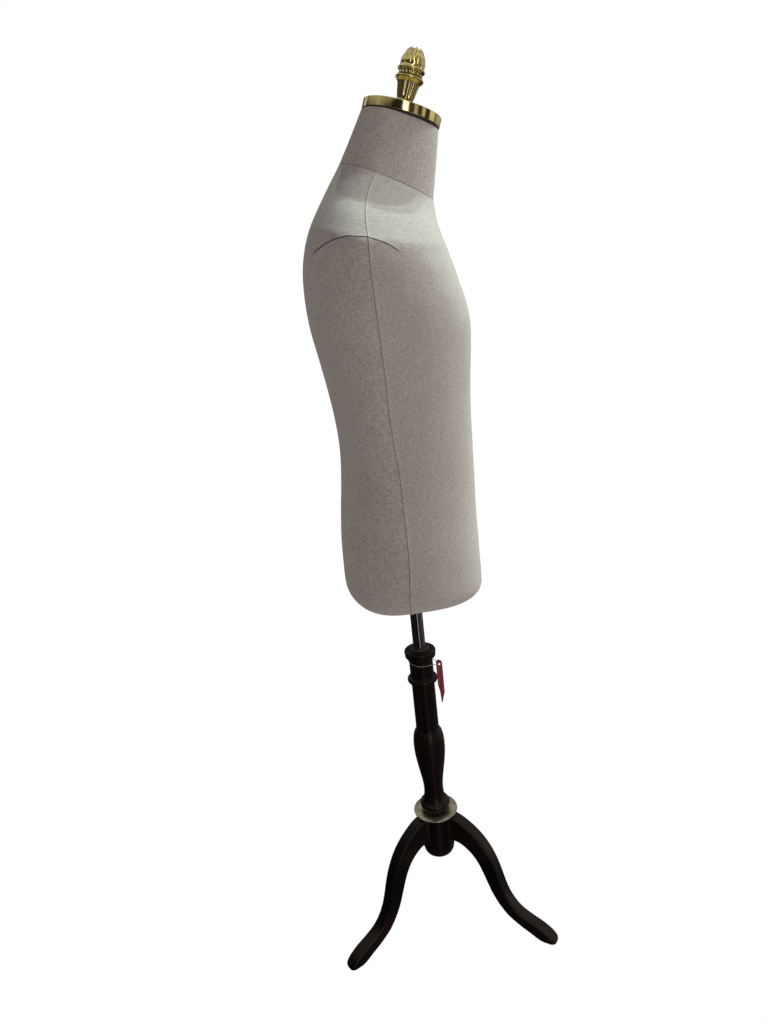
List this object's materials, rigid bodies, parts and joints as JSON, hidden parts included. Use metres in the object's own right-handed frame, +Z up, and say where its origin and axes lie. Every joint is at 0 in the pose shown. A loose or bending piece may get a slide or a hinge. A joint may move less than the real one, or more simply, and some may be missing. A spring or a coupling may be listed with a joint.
{
  "type": "dress form mannequin",
  "caption": "Headless male torso dress form in linen with a neck cap and finial, on a pole that slides and locks in a turned wooden tripod stand.",
  "frame": {"origin": "on the floor, on the axis of the pole", "axes": "+Z up along the pole; the torso faces -Y, so its left side is at +X and its back at +Y"},
  "size_m": [0.4464, 0.4082, 1.5433],
  "materials": {
    "wood": "near-black espresso stain under a satin lacquer, turned and sawn hardwood",
    "raw_wood": "bare beech or plywood, unfinished because it is hidden",
    "linen": "natural grey-beige linen canvas, plain weave with dark slubs, pulled tight",
    "shell": "moulded paper and glue shell, matt",
    "gold": "polished, lacquered yellow brass plate",
    "old_brass": "brushed pale brass, aged",
    "chrome": "polished dark chrome on steel tube",
    "steel": "zinc-plated steel",
    "black_plastic": "black moulded nylon or rubber-like plastic, matt",
    "clear_plastic": "clear nylon",
    "red_card": "red plastic-coated card, blank"
  },
  "bodies": {
    "stand": {"hub": "wood", "leg_1": "wood", "leg_2": "wood", "leg_3": "wood", "leg_bolt_1": "steel", "leg_bolt_2": "steel", "leg_bolt_3": "steel", "leg_dowel_1": "raw_wood", "leg_dowel_2": "raw_wood", "leg_dowel_3": "raw_wood", "foot_glide_1": "black_plastic", "foot_glide_2": "black_plastic", "foot_glide_3": "black_plastic", "base_ring": "old_brass", "column": "wood", "column_bush": "black_plastic", "column_insert": "steel", "tie_bolt": "steel", "tie_washer": "steel", "clamp_insert": "old_brass", "tag_loop": "clear_plastic"},
    "clamp": {"clamp_screw": "steel", "clamp_shoe": "old_brass"},
    "knob": {"clamp_knob": "black_plastic"},
    "tag": {"swing_tag": "red_card"},
    "pole": {"height_tube": "chrome", "tube_guide_plug": "black_plastic", "tube_top_cap": "black_plastic"},
    "torso": {"torso_shell": "shell", "front_cover": "linen", "back_cover": "linen", "neck_cover": "linen", "base_cover": "linen", "base_board": "raw_wood", "pole_socket": "steel", "socket_screw_1": "steel", "socket_screw_2": "steel", "socket_screw_3": "steel", "socket_screw_4": "steel", "neck_block": "raw_wood", "neck_gasket": "black_plastic", "neck_cap": "gold", "cap_core": "raw_wood", "finial": "gold", "finial_stud": "steel", "finial_washer": "steel", "finial_nut": "steel"}
  },
  "joints": [
    {"name": "height_slide", "type": "slide", "parent": "stand", "child": "pole", "axis": [0, 0, 1], "range_m": [-0.09, 0.12]},
    {"name": "torso_swivel", "type": "hinge", "parent": "pole", "child": "torso", "pos_m": [0, 0, 0.864], "axis": [0, 0, 1], "continuous": true},
    {"name": "clamp_turn", "type": "hinge", "parent": "clamp", "child": "knob", "pos_m": [0.03477, -0.00304, 0.555], "axis": [0.9962, -0.0872, 0], "range_deg": [0, 720]},
    {"name": "clamp_travel", "type": "slide", "parent": "stand", "child": "clamp", "axis": [0.9962, -0.0872, 0], "range_m": [0, 0.0025]},
    {"name": "tag_swing", "type": "hinge", "parent": "stand", "child": "tag", "pos_m": [-0.01286, -0.03104, 0.563], "axis": [-0.9239, 0.3827, 0], "range_deg": [0, 75]}
  ],
  "couplings": [
    {"joint": "clamp_turn", "follows": "clamp_travel", "rad_per_m": 5026.5}
  ]
}
